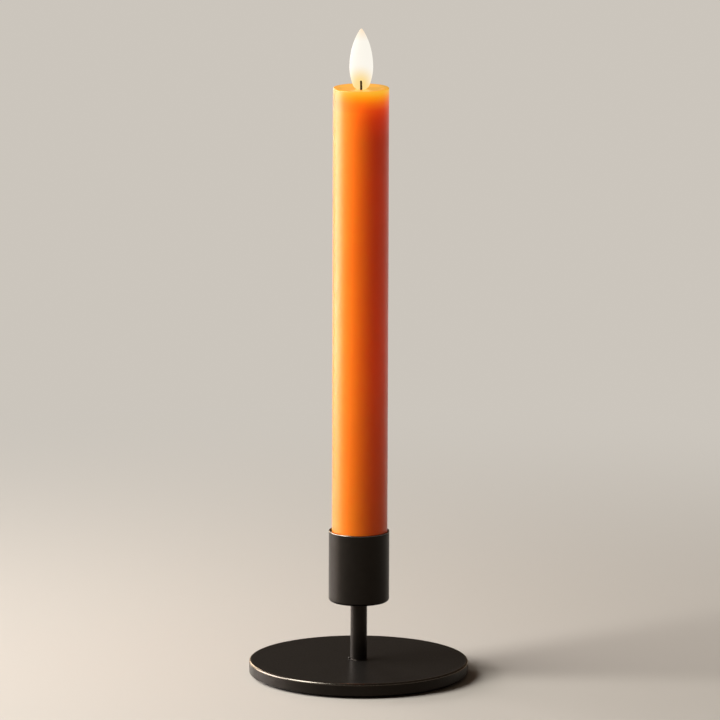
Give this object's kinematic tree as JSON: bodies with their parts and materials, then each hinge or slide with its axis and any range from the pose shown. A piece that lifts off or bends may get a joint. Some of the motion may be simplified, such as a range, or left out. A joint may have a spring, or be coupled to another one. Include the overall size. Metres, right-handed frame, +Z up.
{
  "type": "taper candle",
  "caption": "Straight orange taper candle with an electric flame, standing in a black metal holder with a round cup, thin stem and flat disc base.",
  "frame": {"origin": "middle of the foot pad's underside, on the surface that the holder stands on", "axes": "+Z up along the candle, -Y towards the side where the imitation wick shows"},
  "size_m": [0.0869, 0.0868, 0.2591],
  "materials": {
    "foam_pad": "matt black foam sheet",
    "black_metal": "fine matt black powder coat on steel",
    "orange_wax": "orange paraffin wax, satin, a little translucent",
    "white_plastic": "moulded white plastic",
    "flame_plastic": "frosted diffusing plastic, lit from below",
    "black_wick": "dark brown imitation wick",
    "lamp_resin": "clear warm-white lamp resin",
    "board": "green solder mask",
    "dark_package": "black moulding compound",
    "dark_plastic": "moulded black plastic",
    "nickel_plate": "nickel plate",
    "red_insulation": "red wire insulation",
    "black_insulation": "black wire insulation",
    "cell_wrap": "plain printed sleeve on a steel can"
  },
  "bodies": {
    "candle_in_holder": {"foot_pad": "foam_pad", "base_plate": "black_metal", "stem": "black_metal", "candle_cup": "black_metal", "wax_shell": "orange_wax", "core_tube": "white_plastic", "flame_lens": "flame_plastic", "wick": "black_wick", "head_plug": "white_plastic", "led": "lamp_resin", "circuit_board": "board", "control_chip": "dark_package", "resistor": "dark_package", "capacitor": "nickel_plate", "positive_wire": "red_insulation", "negative_wire": "black_insulation", "lower_cell": "cell_wrap", "upper_cell": "cell_wrap", "battery_tube": "white_plastic", "top_contact": "nickel_plate", "contact_strip": "nickel_plate", "contact_spring": "nickel_plate", "bottom_cap": "white_plastic", "slide_switch": "dark_package", "switch_cover": "white_plastic", "contact_ring": "nickel_plate"},
    "switch": {"switch_knob": "dark_plastic"}
  },
  "joints": [
    {"name": "switch_slide", "type": "slide", "parent": "candle_in_holder", "child": "switch", "axis": [1, 0, 0], "range_m": [0, 0.0025]}
  ]
}
